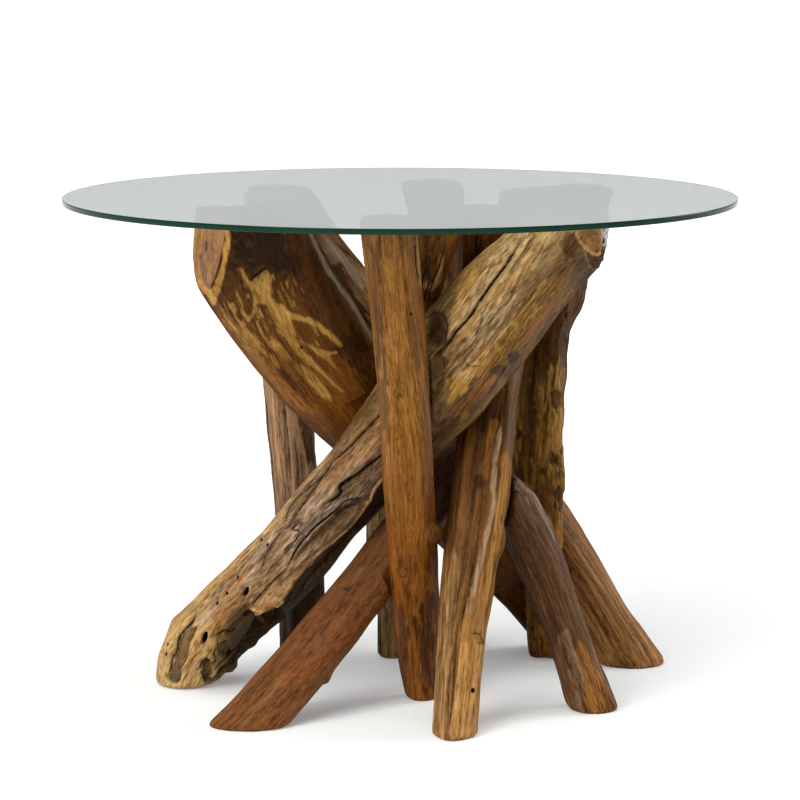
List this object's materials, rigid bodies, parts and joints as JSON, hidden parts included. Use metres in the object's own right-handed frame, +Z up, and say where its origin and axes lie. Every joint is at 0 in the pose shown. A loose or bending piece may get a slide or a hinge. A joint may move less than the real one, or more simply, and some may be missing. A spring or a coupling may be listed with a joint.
{
  "type": "teak root side table",
  "caption": "Round side table: a clear glass disc resting on a base of crossed, pegged teak root and branch logs, each one sawn level at the floor and under the glass.",
  "frame": {"origin": "on the floor, under the middle of the round glass top", "axes": "+Z up through the glass, -Y towards the viewer of the picture, +X to that viewer's right"},
  "size_m": [0.5999, 0.6, 0.45],
  "materials": {
    "teak_warm": "oiled, straight grained heartwood",
    "teak_weathered": "weathered and cracked, worm eaten at the foot",
    "teak_blazed": "dark heartwood with a blaze of yellow sapwood",
    "teak_red": "smooth red brown heartwood",
    "teak_grey": "grey brown, ridged along the grain",
    "teak_blotched": "yellow brown blotches on near black, pitted",
    "teak_pale": "pale sapwood",
    "clear_bumper": "clear and soft",
    "clear_glass": "polished, with a green edge"
  },
  "bodies": {
    "base": {"centre_post": "teak_warm", "diagonal_log": "teak_weathered", "split_root": "teak_blazed", "round_leg": "teak_red", "front_leg": "teak_warm", "curved_leg": "teak_grey", "rear_diagonal": "teak_grey", "knotty_post": "teak_blotched", "rear_left_post": "teak_grey", "rear_centre_post": "teak_grey", "pale_strut": "teak_pale", "dark_strut": "teak_red", "inner_post": "teak_pale", "pegs": "teak_warm", "bumpers": "clear_bumper"},
    "glass": {"glass_top": "clear_glass"}
  },
  "joints": [
    {"name": "top_lift", "type": "slide", "parent": "base", "child": "glass", "axis": [0, 0, 1], "range_m": [0, 0.12]}
  ]
}
